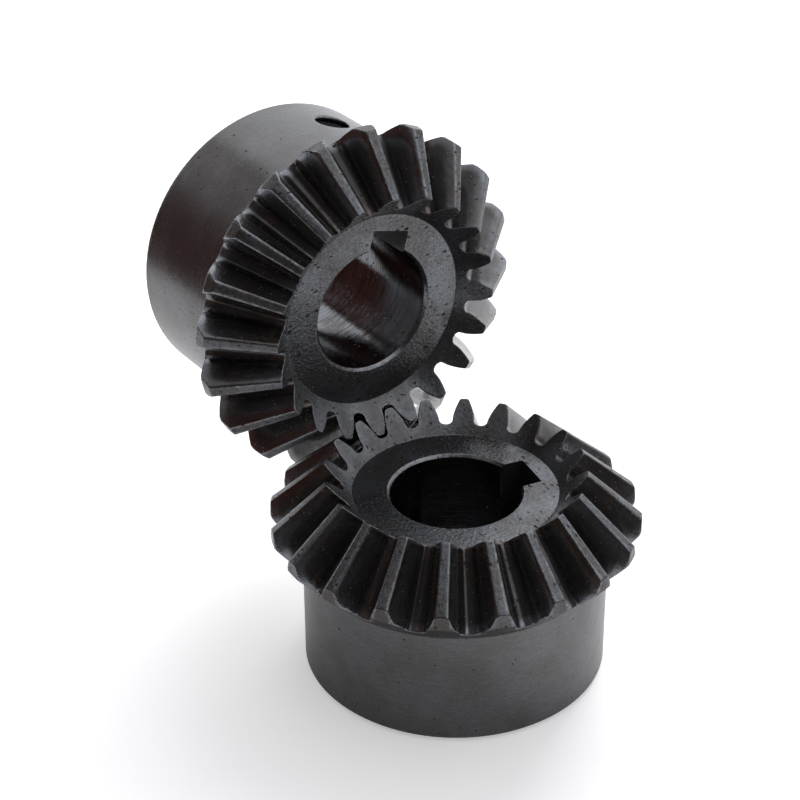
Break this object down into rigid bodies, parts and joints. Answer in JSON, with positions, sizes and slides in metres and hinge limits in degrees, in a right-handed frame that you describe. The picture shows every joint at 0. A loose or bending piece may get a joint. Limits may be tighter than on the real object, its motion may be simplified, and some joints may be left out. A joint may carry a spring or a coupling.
{
  "type": "bevel gear pair",
  "caption": "Two equal straight bevel gears with hubs, keyed bores and set screws, meshing to turn one shaft from another at right angles.",
  "frame": {"origin": "the apex, where the two shaft axes cross at a right angle", "axes": "+Z along the lower gear's shaft, away from its hub, so the lower gear is below the origin; +Y along the upper gear's shaft, towards its hub"},
  "size_m": [0.0514, 0.0717, 0.072],
  "materials": {
    "lower_gear_steel": "black oxide over turned and cut steel, oiled",
    "upper_gear_steel": "black oxide over turned and cut steel, oiled",
    "set_screw_steel": "black oxide",
    "shim_steel": "bright rolled strip"
  },
  "bodies": {
    "shim": {"mounting_shim": "shim_steel"},
    "lower_gear": {"lower_gear": "lower_gear_steel"},
    "upper_gear": {"upper_gear": "upper_gear_steel"},
    "lower_set_screw": {"lower_set_screw": "set_screw_steel"},
    "upper_set_screw": {"upper_set_screw": "set_screw_steel"}
  },
  "joints": [
    {"name": "lower_gear_spin", "type": "hinge", "parent": "shim", "child": "lower_gear", "pos_m": [0, 0, -0.0327], "axis": [0, 0, 1], "continuous": true},
    {"name": "upper_gear_spin", "type": "hinge", "parent": "shim", "child": "upper_gear", "pos_m": [0, 0.0327, 0], "axis": [0, 1, 0], "continuous": true},
    {"name": "lower_set_screw_travel", "type": "slide", "parent": "lower_gear", "child": "lower_set_screw", "axis": [0.9816, -0.1908, 0], "range_m": [-0.00045, 0.0082]},
    {"name": "upper_set_screw_travel", "type": "slide", "parent": "upper_gear", "child": "upper_set_screw", "axis": [0.2723, 0, 0.9622], "range_m": [-0.00045, 0.0082]}
  ],
  "couplings": [
    {"joint": "upper_gear_spin", "follows": "lower_gear_spin", "ratio": 1}
  ]
}
